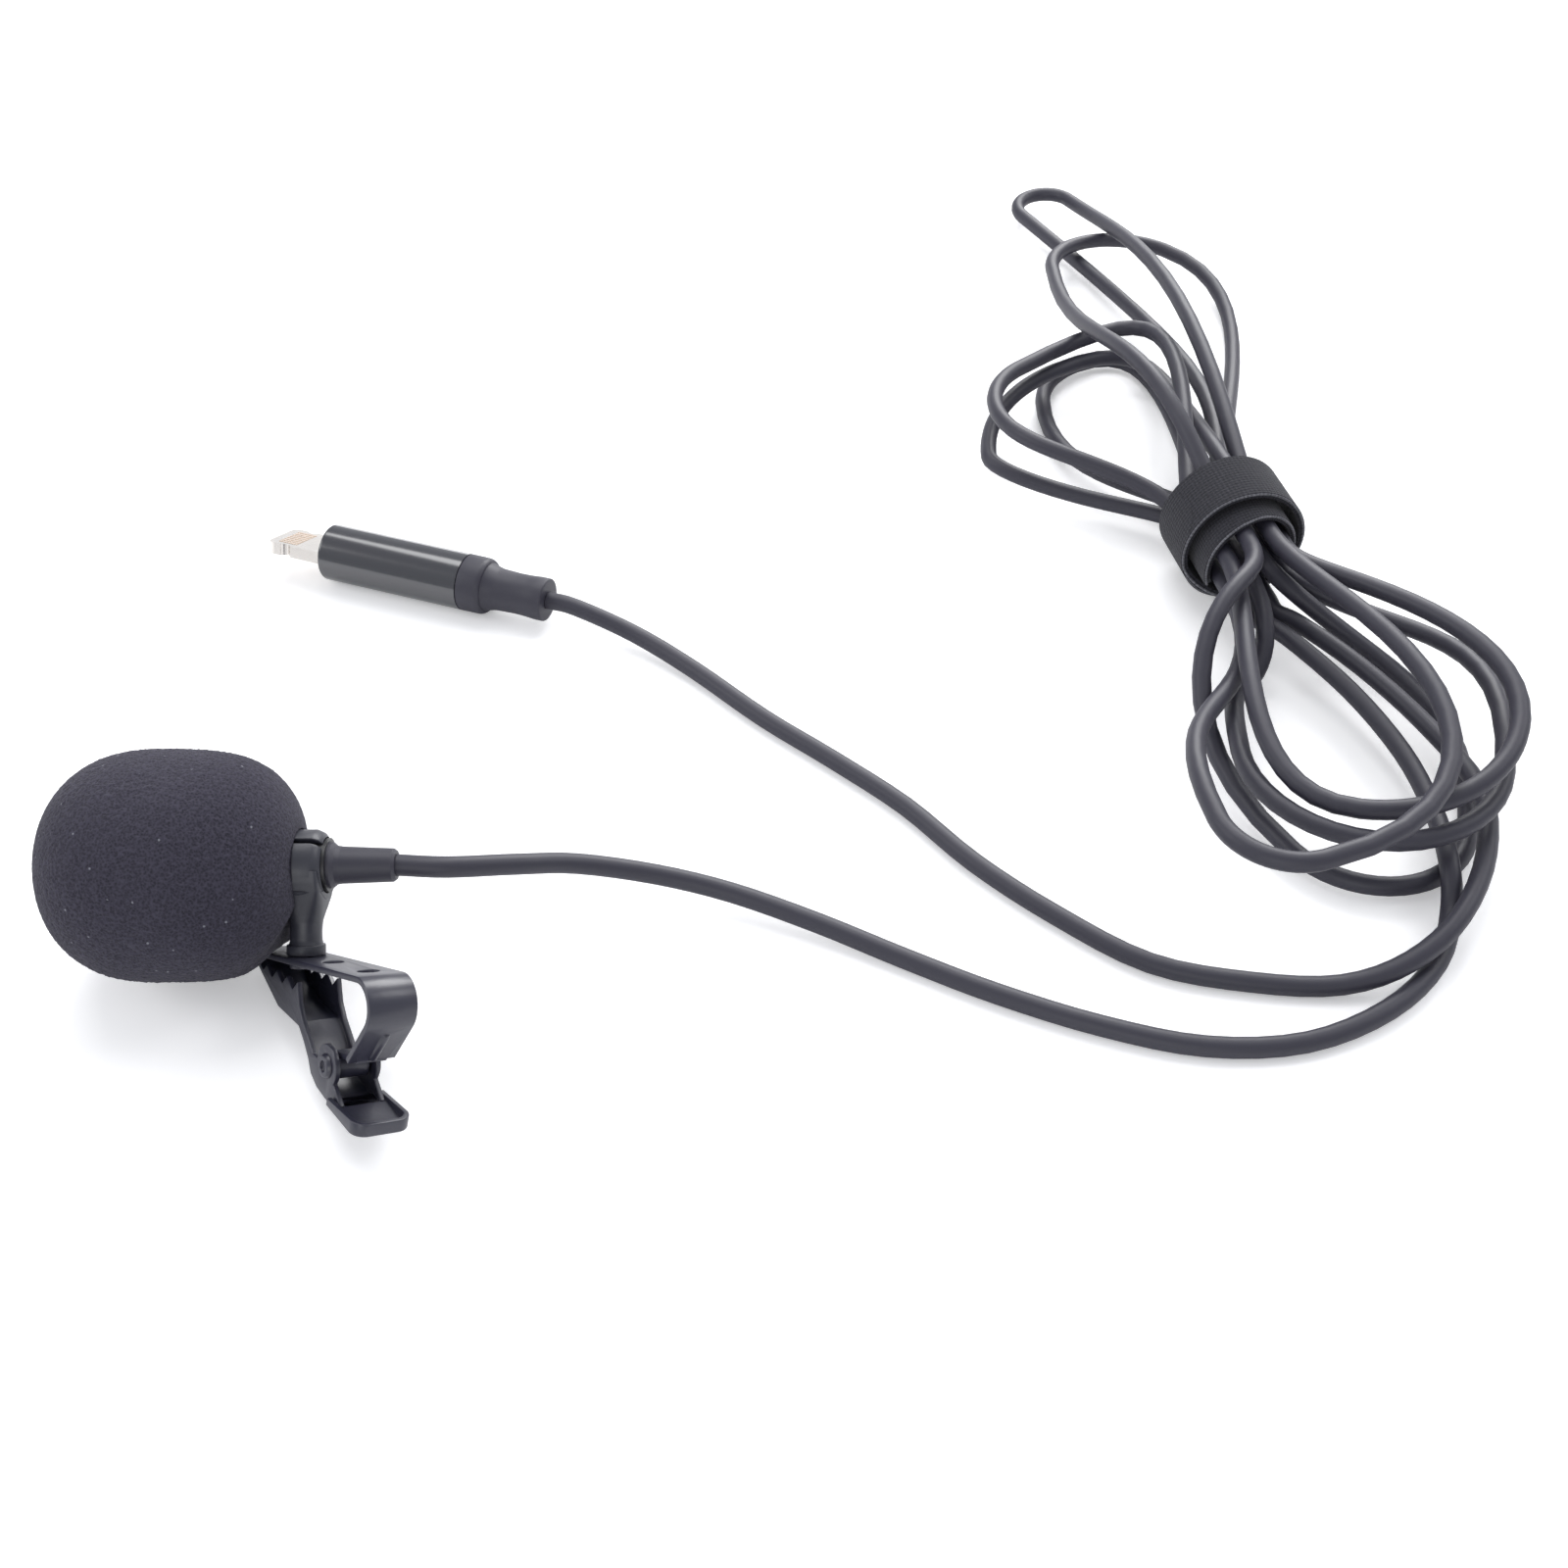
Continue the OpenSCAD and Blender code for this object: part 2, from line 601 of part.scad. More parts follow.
module plug_tongue() {
  dimple_z = barrel_start + barrel_length + tongue_length - 2.7;
  color("#e2e2e0") along_plug(0) difference() {
    rotate([90, 0, 90]) linear_extrude(tongue_t, center = true) tongue_plan();
    for (side = [-1, 1]) translate([0, side * (tongue_width / 2 + 0.3), dimple_z]) rotate([0, 90, 0])
      cylinder(r = 0.75, h = 2 * tongue_t, center = true);
  }
}
module plug_contacts() {
  contact_t = 0.05;
  contact = [contact_t, 0.4, 2.6];
  color("#d9b25a") along_plug(barrel_start + barrel_length + tongue_length - 1.2 - contact[2])
    for (face = [0, 1], i = [0:contact_count - 1]) mirror([face, 0, 0])
      translate([tongue_t / 2, (i - (contact_count - 1) / 2) * contact_pitch - contact[1] / 2, 0])
        cube(contact);
}

foam_windscreen();
front_grille();
dust_felt();
capsule_gasket();
electret_capsule();
amplifier_board();
core_wires();
capsule_housing();
rear_bush();
mic_strain_relief();
holder_ring();
swivel_stud();
spring_strip();
pivot_rivet();
clip_jaw();
cord_mic_lead();
cord_hank();
cord_plug_lead();
cable_tie();
plug_strain_relief();
plug_collar();
plug_barrel();
plug_inner_body();
converter_board();
plug_tongue();
plug_contacts();
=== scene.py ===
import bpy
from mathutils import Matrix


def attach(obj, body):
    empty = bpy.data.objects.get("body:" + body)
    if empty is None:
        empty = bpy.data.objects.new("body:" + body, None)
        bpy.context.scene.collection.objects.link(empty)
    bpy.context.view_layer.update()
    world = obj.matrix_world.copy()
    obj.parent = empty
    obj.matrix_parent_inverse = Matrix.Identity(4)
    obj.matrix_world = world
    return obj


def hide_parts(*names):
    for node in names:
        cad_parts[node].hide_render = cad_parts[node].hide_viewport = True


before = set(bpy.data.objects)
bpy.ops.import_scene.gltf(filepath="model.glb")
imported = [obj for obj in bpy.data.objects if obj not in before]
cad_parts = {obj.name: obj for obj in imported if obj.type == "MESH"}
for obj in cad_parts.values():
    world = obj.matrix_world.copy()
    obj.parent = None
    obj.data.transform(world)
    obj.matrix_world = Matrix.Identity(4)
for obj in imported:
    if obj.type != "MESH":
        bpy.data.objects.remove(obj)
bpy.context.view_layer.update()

import math

import bmesh
import bpy
from bpy.props import FloatProperty, FloatVectorProperty, IntProperty, PointerProperty
from mathutils import Matrix, Vector, noise

bl_info = {
    "name": "Lavalier microphone",
    "version": (1, 0, 0),
    "blender": (4, 5, 0),
    "location": "View3D > Sidebar > Lavalier",
    "description": "Dresses a clip-on lavalier microphone, its tied cord and its plug",
    "category": "Object",
}

MM = 0.001

# Microphone axis, holder and clip, in millimetres and degrees, as the solids have them.
AXIS_Y, AXIS_Z = 7.1, 12.4
FOAM_MIDDLE, FOAM_HALF, FOAM_R = -6.7, 12.1, 11.65
HOUSING_R, HOUSING_FRONT, HOUSING_GAP = 2.7, -7.9, 0.06
RING_FRONT, RING_R = 5.3, 3.55
# The foam's mouth lies just ahead of the ring, and its lip laps over the ring with a little room.
MOUTH, LIP_REACH, LIP_GAP = RING_FRONT - 0.15, 1.25, 0.12
SWIVEL_X, STEM_DROP, LEAN, CLIP_TURN = 6.8, 9.0, 43.0, 51.0
STRIP_FRONT, STRIP_WIDTH = -8.5, 4.8

# Tie and the straight passes of the cord through it.
TIE_CENTRE = Vector((111.9, 64.6, 8.2))
TIE_HEADING = -79.0
TIE_LOW, TIE_HIGH = 3.5, -8.5
# Eight passes stand in a ring, and two side by side within it.
RING_PASSES, PASS_RING_R, PASS_CORE_X = 8, 4.25, 1.4
PASS_ORDER = (5, 1, 4, 3, 0, 9, 2, 7, 8, 6)
END_STUB = 2.5

# Lobes of the hank in the order the cord runs, by turns on the far and the near side of the tie:
# tip, heading there, turn, radius and half sweep of the round end, its rise, handles, arches.
LOBES = (
    ((85.5, 101.5, 5), 61, -1, 24, 29, 0.5, (7, 5, 28, 25), (-1, -4.5)),
    ((102, 8, 13), 149, -1, 7.5, 48, 0, (13, 34, 23, 25), (2.5, -1)),
    ((84, 99.5, 9), 74, -1, 15, 28, -0.5, (10, 12, 48, 7), (0.5, 3.5)),
    ((126.5, 19, 11), 27, 1, 14.5, 46, 2, (11, 16, 15, 6), (2, 0.5)),
    ((96.5, 170, 3), -153, 1, 4.5, 93, -0.5, (4, 19, 63, 13), (7, 2.5)),
    ((120.5, 14, 1.5), -173, -1, 11, 65, 0, (8, 34, 35, 13), (-2.5, 5)),
    ((103.5, 151, 4.5), 27, -1, 12.5, 61, -1, (6, 43, 24, 22), (7.5, -3)),
    ((116.5, 15, 7.5), 169, -1, 14, 82, -1, (5, 36, 23, 22), (-3.5, -4)),
    ((94, 114, 1.5), -121, 1, 13, 27, 0, (7, 22, 24, 9), (-2.5, 0.5)),
)
RELIEF_END = Vector((15.9, AXIS_Y, AXIS_Z))
PLUG_END = Vector((24.9, 59.8, 3.6))
PLUG_HEADING = -19.0
MIC_ROUTE = (
    (21, 7.1, 12.1), (27.5, 9.5, 9.9), (33, 12.2, 7), (41, 13.2, 4.2), (49, 12.2, 2.4),
    (58, 8.7, 1.6), (67, 4.2, 1.2), (76, -0.3, 1.2), (86, -4.3, 1.2), (96, -6.8, 1.2),
    (106, -6.3, 1.2), (115, -2.3, 1.2), (121.5, 3.7, 1.2), (124.5, 10.2, 2), (125, 15.2, 4.3),
    (125.5, 23.2, 4), (124.5, 32.2, 3.9), (121, 42.2, 4.1), (115.5, 51.7, 4.4),
)
PLUG_ROUTE = (
    (28.5, 58.6, 3.4), (36, 55.2, 1.9), (43.5, 49.2, 1.3), (52, 40.7, 1.2), (60, 33.7, 1.2),
    (68, 26.2, 1.2), (75, 17.7, 1.2), (83, 10.2, 1.2), (92, 3.7, 1.2), (102, 1.2, 1.2),
    (111, 0.7, 1.4), (118, 2.4, 3.1), (124, 7.2, 4.5), (129, 15.7, 4.9), (131, 25.2, 4.9),
    (128, 36.2, 4.5), (123, 46.2, 4.5), (117.5, 54.2, 4.4),
)


def linear(text):
    """Turns an sRGB hex colour into linear values."""
    channels = [int(text[i:i + 2], 16) / 255 for i in (1, 3, 5)]
    return tuple(c / 12.92 if c <= 0.04045 else ((c + 0.055) / 1.055) ** 2.4 for c in channels)


def rgba(colour):
    """Adds full opacity to a colour."""
    return (*colour, 1.0)


def add_node(tree, kind, inputs=None, **settings):
    """Adds one node, sets its properties, and fills its inputs with values or links."""
    made = tree.nodes.new(kind)
    for name, value in settings.items():
        setattr(made, name, value)
    for name, value in (inputs or {}).items():
        if isinstance(value, bpy.types.NodeSocket):
            tree.links.new(value, made.inputs[name])
        else:
            made.inputs[name].default_value = value
    return made


def surface(name, colour, roughness, metallic=0.0, **sockets):
    """A Principled material and its tree, shader and place on the object in metres."""
    made = bpy.data.materials.new(name)
    made.use_nodes = True
    tree = made.node_tree
    shader = tree.nodes["Principled BSDF"]
    shader.inputs["Base Color"].default_value = rgba(colour)
    shader.inputs["Roughness"].default_value = roughness
    shader.inputs["Metallic"].default_value = metallic
    for socket, value in sockets.items():
        shader.inputs[socket.replace("_", " ")].default_value = value
    place = add_node(tree, "ShaderNodeTexCoord").outputs["Object"]
    return made, tree, shader, place


def grain(tree, shader, place, size_mm, depth_mm):
    """Bumps the surface with noise whose grains are size_mm across."""
    field = add_node(tree, "ShaderNodeTexNoise",
                     {"Vector": place, "Scale": 1 / (size_mm * MM), "Detail": 2.0})
    bump = add_node(tree, "ShaderNodeBump",
                    {"Height": field.outputs["Fac"], "Distance": depth_mm * MM, "Strength": 1.0})
    tree.links.new(bump.outputs["Normal"], shader.inputs["Normal"])


# Materials.
def foam_material(look):
    """Open-cell polyurethane foam, dyed black: matt, even, with open pores of about 0.3 mm."""
    made, tree, shader, place = surface("Polyurethane foam, open cell", look.foam, 1.0,
                                        Specular_IOR_Level=0.25, Sheen_Weight=0.08, Sheen_Roughness=0.5)
    pore_mm, wall_mm, between_flecks_mm = 0.27, 0.18, 1.7
    pores = add_node(tree, "ShaderNodeTexVoronoi",
                     {"Vector": place, "Scale": 1 / (pore_mm * MM), "Randomness": 1.0})
    walls = add_node(tree, "ShaderNodeTexNoise",
                     {"Vector": place, "Scale": 1 / (wall_mm * MM), "Detail": 3.0, "Roughness": 0.75})
    height = add_node(tree, "ShaderNodeMath", {0: walls.outputs["Fac"], 1: 1.6,
                                               2: pores.outputs["Distance"]}, operation="MULTIPLY_ADD")
    bump = add_node(tree, "ShaderNodeBump",
                    {"Height": height.outputs["Value"], "Distance": 0.07 * MM, "Strength": 0.8})
    tree.links.new(bump.outputs["Normal"], shader.inputs["Normal"])
    # Painted shade: the depths of the cells are coloured darker than their walls.
    painted_shade = add_node(tree, "ShaderNodeMapRange",
                     {"Value": height.outputs["Value"], "From Min": 0.85, "From Max": 1.6,
                      "To Min": 0.62, "To Max": 1.45})
    base = add_node(tree, "ShaderNodeVectorMath",
                    {0: look.foam, "Scale": painted_shade.outputs["Result"]}, operation="SCALE")
    # Painted highlights: a few broken cell walls catch the light as pale flecks 0.15 mm across.
    flecks = add_node(tree, "ShaderNodeTexVoronoi", {"Vector": place, "Scale": 1 / (between_flecks_mm * MM)})
    sparse = add_node(tree, "ShaderNodeMapRange",
                      {"Value": flecks.outputs["Distance"], "From Min": 0.09, "From Max": 0.04,
                       "To Min": 0.0, "To Max": 0.85})
    mixed = add_node(tree, "ShaderNodeMix",
                     {"Factor": sparse.outputs["Result"], "A": base.outputs["Vector"],
                      "B": rgba(look.foam_fleck_highlight)}, data_type="RGBA")
    tree.links.new(mixed.outputs["Result"], shader.inputs["Base Color"])
    return made


def clip_material(look):
    """Spring steel under a black electrophoretic coat: thin even paint, semi-gloss."""
    made, tree, shader, place = surface("Black electrocoat on spring steel", look.clip, 0.34,
                                        IOR=1.55, Coat_Weight=0.15, Coat_Roughness=0.25)
    grain(tree, shader, place, 0.5, 0.01)
    return made


def cord_material(look):
    """Extruded soft PVC jacket: smooth with a satin sheen and no visible grain."""
    made, tree, shader, place = surface("PVC cord jacket, extruded", look.cord, 0.5, IOR=1.5)
    grain(tree, shader, place, 1.5, 0.02)
    return made


def rubber_material(look):
    """Moulded thermoplastic rubber: satin, from a finely eroded mould."""
    made, tree, shader, place = surface("Thermoplastic rubber, moulded", look.rubber, 0.5, IOR=1.5)
    grain(tree, shader, place, 0.15, 0.01)
    return made


def holder_material(look):
    """Moulded ABS: low satin gloss with the mould's fine texture."""
    made, tree, shader, place = surface("ABS, moulded", look.holder, 0.42, IOR=1.53)
    grain(tree, shader, place, 0.2, 0.01)
    return made


def barrel_material(look):
    """Aluminium sleeve, fine turned and anodised black: soft long bands of light along it."""
    made, tree, shader, place = surface("Black anodised aluminium, turned", look.barrel, 0.2,
                                        IOR=1.8, Coat_Weight=0.8, Coat_Roughness=0.14)
    grain(tree, shader, place, 0.8, 0.004)
    return made


def strap_material(look, name="Nylon hook-and-loop strap, woven", colour=None):
    """Woven nylon tape: dull, with ribs both ways every 0.5 mm under a nap of loose fibre."""
    colour = colour or look.strap
    rib_mm, nap_mm, strap_r = 0.5, 0.25, 7.6
    made, tree, shader, place = surface(name, colour, 1.0, Specular_IOR_Level=0.2,
                                        Sheen_Weight=0.12, Sheen_Roughness=0.5)
    # Turned so that x runs along the tie's axis and the strap goes round it.
    centred = add_node(tree, "ShaderNodeVectorMath", {0: place, 1: tuple(TIE_CENTRE * MM)},
                       operation="SUBTRACT")
    turned = add_node(tree, "ShaderNodeVectorRotate",
                      {"Vector": centred.outputs["Vector"], "Axis": (0.0, 0.0, 1.0),
                       "Angle": math.radians(-TIE_HEADING)}, rotation_type="AXIS_ANGLE")
    split = add_node(tree, "ShaderNodeSeparateXYZ", {"Vector": turned.outputs["Vector"]})
    round_it = add_node(tree, "ShaderNodeMath", {0: split.outputs["Z"], 1: split.outputs["Y"]},
                        operation="ARCTAN2")
    across = add_node(tree, "ShaderNodeMath", {0: split.outputs["X"], 1: 2 * math.pi / (rib_mm * MM)},
                      operation="MULTIPLY")
    along = add_node(tree, "ShaderNodeMath",
                     {0: round_it.outputs["Value"], 1: 2 * math.pi * strap_r / rib_mm}, operation="MULTIPLY")
    weft = add_node(tree, "ShaderNodeMath", {0: across.outputs["Value"]}, operation="SINE")
    warp = add_node(tree, "ShaderNodeMath", {0: along.outputs["Value"]}, operation="SINE")
    weave = add_node(tree, "ShaderNodeMath", {0: weft.outputs["Value"], 1: warp.outputs["Value"]},
                     operation="ADD")
    nap = add_node(tree, "ShaderNodeTexNoise",
                   {"Vector": place, "Scale": 1 / (nap_mm * MM), "Detail": 3.0, "Roughness": 0.7})
    height = add_node(tree, "ShaderNodeMath", {0: weave.outputs["Value"], 1: 0.1, 2: nap.outputs["Fac"]},
                      operation="MULTIPLY_ADD")
    bump = add_node(tree, "ShaderNodeBump",
                    {"Height": height.outputs["Value"], "Distance": 0.14 * MM, "Strength": 0.9})
    tree.links.new(bump.outputs["Normal"], shader.inputs["Normal"])
    # Painted shade: the colour is darker where the weave and the nap sit low, and the nap also mottles it at
    # random.
    painted_shade = add_node(tree, "ShaderNodeMapRange",
                     {"Value": height.outputs["Value"], "From Min": 0.2, "From Max": 0.8,
                      "To Min": 0.5, "To Max": 1.5})
    base = add_node(tree, "ShaderNodeVectorMath", {0: colour, "Scale": painted_shade.outputs["Result"]},
                    operation="SCALE")
    tree.links.new(base.outputs["Vector"], shader.inputs["Base Color"])
    return made


def nickel_material(look):
    """Stainless tongue, tumbled and nickel plated: bright and only slightly diffuse."""
    made, tree, shader, place = surface("Nickel-plated steel, tumbled", look.nickel, 0.24, metallic=1.0)
    grain(tree, shader, place, 0.3, 0.004)
    return made


def gold_material(look):
    """Gold flash over nickel: warm and bright."""
    return surface("Gold-plated contact", look.gold, 0.22, metallic=1.0)[0]


def plain_materials():
    """Finishes of the inner pieces, which only show when something is taken apart."""
    felt, tree, shader, place = surface("Acoustic felt, pressed", linear("#1a1a1c"), 0.95, Sheen_Weight=0.3)
    grain(tree, shader, place, 0.2, 0.05)
    return {
        "felt": felt,
        "mesh_metal": surface("Blackened steel, perforated", linear("#3c3c40"), 0.38, metallic=1.0)[0],
        "housing_paint": surface("Black paint on brass tube", linear("#1d1d20"), 0.4, IOR=1.5)[0],
        "capsule_can": surface("Aluminium can, drawn", linear("#c9cbce"), 0.3, metallic=1.0)[0],
        "circuit_board": surface("Glass-epoxy board, solder mask", linear("#1f5c34"), 0.35, IOR=1.55)[0],
        "red_insulation": surface("Red PVC insulation, extruded", linear("#9e2a22"), 0.4)[0],
        "inner_moulding": surface("White ABS, moulded", linear("#dcdcd8"), 0.45)[0],
    }


# Sizes and colours that a user may change.
class HeadSizes(bpy.types.PropertyGroup):
    """Foam, holder and clip"""
    squareness: FloatProperty(name="Squareness", description="How square the foam's front is",
                              default=2.5, min=2.0, max=3.0)
    fullness: FloatProperty(name="Fullness", description="How square the foam is behind, away from the clip",
                            default=2.9, min=2.0, max=4.0)
    lumps: FloatProperty(name="Lumps", description="Height of the foam's soft lumps",
                         default=0.1 * MM, min=0.0, max=0.5 * MM, unit="LENGTH", precision=5)
    pores: FloatProperty(name="Pores", description="Depth of the foam's open cells",
                         default=0.09 * MM, min=0.0, max=0.4 * MM, unit="LENGTH", precision=5)
    edge: FloatProperty(name="Edge radius", description="Rounding of the clip's and holder's edges",
                        default=0.09 * MM, min=0.01 * MM, max=0.3 * MM, unit="LENGTH", precision=5)


class CordSizes(bpy.types.PropertyGroup):
    """Cord and tie"""
    diameter: FloatProperty(name="Diameter", description="Outer diameter of the cord",
                            default=2.2 * MM, min=1.5 * MM, max=2.2 * MM, unit="LENGTH", precision=5)
    strap: FloatProperty(name="Strap thickness", description="Thickness of one layer of the tie",
                         default=0.8 * MM, min=0.6 * MM, max=1.1 * MM, unit="LENGTH", precision=5)
    steps: IntProperty(name="Steps", description="Points along each run of the hank",
                       default=18, min=9, max=40)


class Finishes(bpy.types.PropertyGroup):
    """Colours of the materials"""
    foam: FloatVectorProperty(name="Foam", description="Dyed foam", subtype="COLOR",
                              default=linear("#35333e"))
    # Colour of the painted highlights on the foam's cell walls.
    foam_fleck_highlight: FloatVectorProperty(name="Foam fleck highlight", description="Cell walls that catch the light",
                                    subtype="COLOR", default=linear("#85868f"))
    clip: FloatVectorProperty(name="Clip", description="Clip paint", subtype="COLOR",
                              default=linear("#2b2b38"))
    cord: FloatVectorProperty(name="Cord", description="Cord jacket", subtype="COLOR",
                              default=linear("#302f3a"))
    rubber: FloatVectorProperty(name="Rubber", description="Strain reliefs and collar",
                                subtype="COLOR", default=linear("#302f3a"))
    holder: FloatVectorProperty(name="Holder", description="Swivel holder", subtype="COLOR",
                                default=linear("#2e2f38"))
    barrel: FloatVectorProperty(name="Barrel", description="Plug barrel", subtype="COLOR",
                                default=linear("#171923"))
    strap: FloatVectorProperty(name="Strap", description="Cable tie", subtype="COLOR",
                               default=linear("#29292f"))
    # Colour of the painted highlight along the tie's edges.
    strap_edge_highlight: FloatVectorProperty(name="Strap edge highlight", description="Painted highlight on the tie's edge",
                                    subtype="COLOR", default=linear("#6e6e74"))
    nickel: FloatVectorProperty(name="Tongue", description="Plated plug tongue", subtype="COLOR",
                                default=linear("#e6e1db"))
    gold: FloatVectorProperty(name="Contacts", description="Plated contacts", subtype="COLOR",
                              default=linear("#eedccb"))


class StageSettings(bpy.types.PropertyGroup):
    """Floor and camera"""
    floor: FloatVectorProperty(name="Floor", description="Floor and backdrop", subtype="COLOR",
                               default=linear("#f7f7f8"))
    lens: FloatProperty(name="Lens", description="Focal length on a 36 mm sensor, in millimetres",
                        default=39.1, unit="CAMERA")


# Shared steps.
def put(name, mesh, body, made, replaced=()):
    """Adds a mesh as a piece that rides on a body and may stand for solids."""
    piece = bpy.data.objects.new(name, mesh)
    bpy.context.scene.collection.objects.link(piece)
    piece.data.materials.clear()
    piece.data.materials.append(made)
    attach(piece, body)
    if replaced:
        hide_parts(*replaced)
    return piece


def smooth(mesh, angle):
    """Shades a mesh smooth, apart from edges sharper than the angle in degrees."""
    mesh.polygons.foreach_set("use_smooth", [True] * len(mesh.polygons))
    mesh.set_sharp_from_angle(angle=math.radians(angle))


def skin(name, points, faces, angle, weld=None):
    """A smooth closed mesh from points in metres, welded where they are closer than weld."""
    mesh = bpy.data.meshes.new(name)
    mesh.from_pydata(points, [], faces)
    shape = bmesh.new()
    shape.from_mesh(mesh)
    if weld:
        bmesh.ops.remove_doubles(shape, verts=shape.verts, dist=weld)
    bmesh.ops.recalc_face_normals(shape, faces=shape.faces)
    shape.to_mesh(mesh)
    shape.free()
    smooth(mesh, angle)
    return mesh


def bridge(shape, rings):
    """Joins each ring of points to the next one with faces."""
    for low, high in zip(rings, rings[1:]):
        for k in range(len(low)):
            after = (k + 1) % len(low)
            shape.faces.new((low[k], low[after], high[after], high[k]))


def outward_mesh(shape, name):
    """Turns a bmesh into a mesh whose faces look outwards."""
    bmesh.ops.recalc_face_normals(shape, faces=shape.faces)
    mesh = bpy.data.meshes.new(name)
    shape.to_mesh(mesh)
    shape.free()
    return mesh


def curve_piece(name, points, radius, fineness, made):
    """A round line through points in metres, which rides on the microphone."""
    data = bpy.data.curves.new(name, "CURVE")
    data.dimensions = "3D"
    data.bevel_depth = radius
    data.bevel_resolution = fineness
    data.use_fill_caps = True
    line = data.splines.new("POLY")
    line.points.add(len(points) - 1)
    for spot, p in zip(line.points, points):
        spot.co = (*p, 1)
    line.use_smooth = True
    data.materials.append(made)
    piece = bpy.data.objects.new(name, data)
    bpy.context.scene.collection.objects.link(piece)
    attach(piece, "microphone")
    return piece


def dress(node, made):
    """Gives a CAD solid its material."""
    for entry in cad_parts[node].material_slots:
        entry.material = made


def soften(name, node, body, made, radius):
    """A copy of a solid whose edges are rounded, as pressed or moulded edges are."""
    angle = 32.0
    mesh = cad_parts[node].data.copy()
    mesh.name = name
    shape = bmesh.new()
    shape.from_mesh(mesh)
    bmesh.ops.remove_doubles(shape, verts=shape.verts, dist=0.002 * MM)
    bmesh.ops.dissolve_limit(shape, angle_limit=math.radians(0.5), verts=shape.verts, edges=shape.edges)
    shape.to_mesh(mesh)
    shape.free()
    piece = put(name, mesh, body, made, (node,))
    bevel = piece.modifiers.new("Edges", "BEVEL")
    bevel.width = radius
    bevel.segments = 3
    bevel.limit_method = "ANGLE"
    bevel.angle_limit = math.radians(angle)
    bevel.use_clamp_overlap = False
    bevel.miter_outer = "MITER_ARC"
    depsgraph = bpy.context.evaluated_depsgraph_get()
    rounded = bpy.data.meshes.new_from_object(piece.evaluated_get(depsgraph))
    piece.modifiers.clear()
    piece.data = rounded
    smooth(rounded, angle)
    return piece


def lathe(name, profile, made, node):
    """Turns a profile of places along the plug and radii, in mm, with its corners rounded."""
    sides, corner = 96, 0.28
    axis = -level(PLUG_HEADING)
    right = level(PLUG_HEADING + 90)
    rounded = []
    for i, (s, r) in enumerate(profile):
        here = Vector((s, r))
        if i in (0, len(profile) - 1):
            rounded.append(here)
            continue
        before, after = Vector(profile[i - 1]) - here, Vector(profile[i + 1]) - here
        cut = min(corner, before.length * 0.45, after.length * 0.45)
        a, b = here + before.normalized() * cut, here + after.normalized() * cut
        rounded += [a * (1 - f) ** 2 + here * 2 * f * (1 - f) + b * f * f for f in (0, 0.25, 0.5, 0.75, 1)]
    shape = bmesh.new()
    rings = []
    for s, r in rounded:
        centre = PLUG_END + axis * s
        rings.append([shape.verts.new((centre + (right * math.cos(t) + UP * math.sin(t)) * r) * MM)
                      for t in (2 * math.pi * k / sides for k in range(sides))])
    bridge(shape, rings + rings[:1])
    mesh = outward_mesh(shape, name)
    smooth(mesh, 50)
    return put(name, mesh, "microphone", made, (node,))


# Holder and clip.
def clip_frame():
    """The clip's origin at the swivel, and its ways: u back, v across, n up from the strip."""
    lean, turn = math.radians(LEAN), math.radians(CLIP_TURN)
    u = Vector((math.cos(turn), -math.sin(turn) * math.cos(lean), math.sin(turn) * math.sin(lean)))
    v = Vector((math.sin(turn), math.cos(turn) * math.cos(lean), -math.cos(turn) * math.sin(lean)))
    n = Vector((0, math.sin(lean), math.cos(lean)))
    return Vector((SWIVEL_X, AXIS_Y, AXIS_Z)) - n * STEM_DROP, u, v, n


def stem_mesh():
    """The holder's stem: it leaves the ring's sides in one smooth hollow curve and ends on the flange."""
    n = clip_frame()[3]
    along = Vector((1, 0, 0))
    aside = n.cross(along)
    # How far below the axis, place along the axis, and half widths along and across it.
    sections = (
        (0.3, 7.1, 1.77, 3.5), (1.4, 7.1, 1.8, 3.36), (2.4, 7.1, 1.84, 3.05), (3.3, 7.08, 1.85, 2.66),
        (4.1, 7.02, 1.78, 2.28), (4.8, 6.94, 1.68, 1.97),
        (5.6, 6.85, 1.58, 1.72), (6.6, 6.8, 1.54, 1.6), (7.5, 6.8, 1.56, 1.58), (7.95, 6.8, 1.68, 1.68),
    )
    sides, steps = 64, 6
    boxy, rounder, round_from, round_over = 0.2, 0.75, 2.4, 3.5
    stations = [Vector(a).lerp(Vector(b), k / steps)
                for a, b in zip(sections, sections[1:]) for k in range(steps)]
    shape = bmesh.new()
    rings = []
    for down, x, half_along, half_aside in stations + [sections[-1]]:
        centre = Vector((x, AXIS_Y, AXIS_Z)) - n * down
        # As flat as the ring's faces at the top, and round by the flange.
        power = boxy + rounder * min(max((down - round_from) / round_over, 0.0), 1.0)
        ring = []
        for k in range(sides):
            t = 2 * math.pi * k / sides
            c, w = math.cos(t), math.sin(t)
            c, w = math.copysign(abs(c) ** power, c), math.copysign(abs(w) ** power, w)
            ring.append(shape.verts.new((centre + along * half_along * c + aside * half_aside * w) * MM))
        rings.append(ring)
    bridge(shape, rings)
    shape.faces.new(rings[0])
    shape.faces.new(list(reversed(rings[-1])))
    bmesh.ops.smooth_vert(shape, verts=[p for ring in rings[1:-1] for p in ring], factor=0.5,
                          use_axis_x=True, use_axis_y=True, use_axis_z=True)
    return bored(outward_mesh(shape, "stem"), HOUSING_R + HOUSING_GAP)


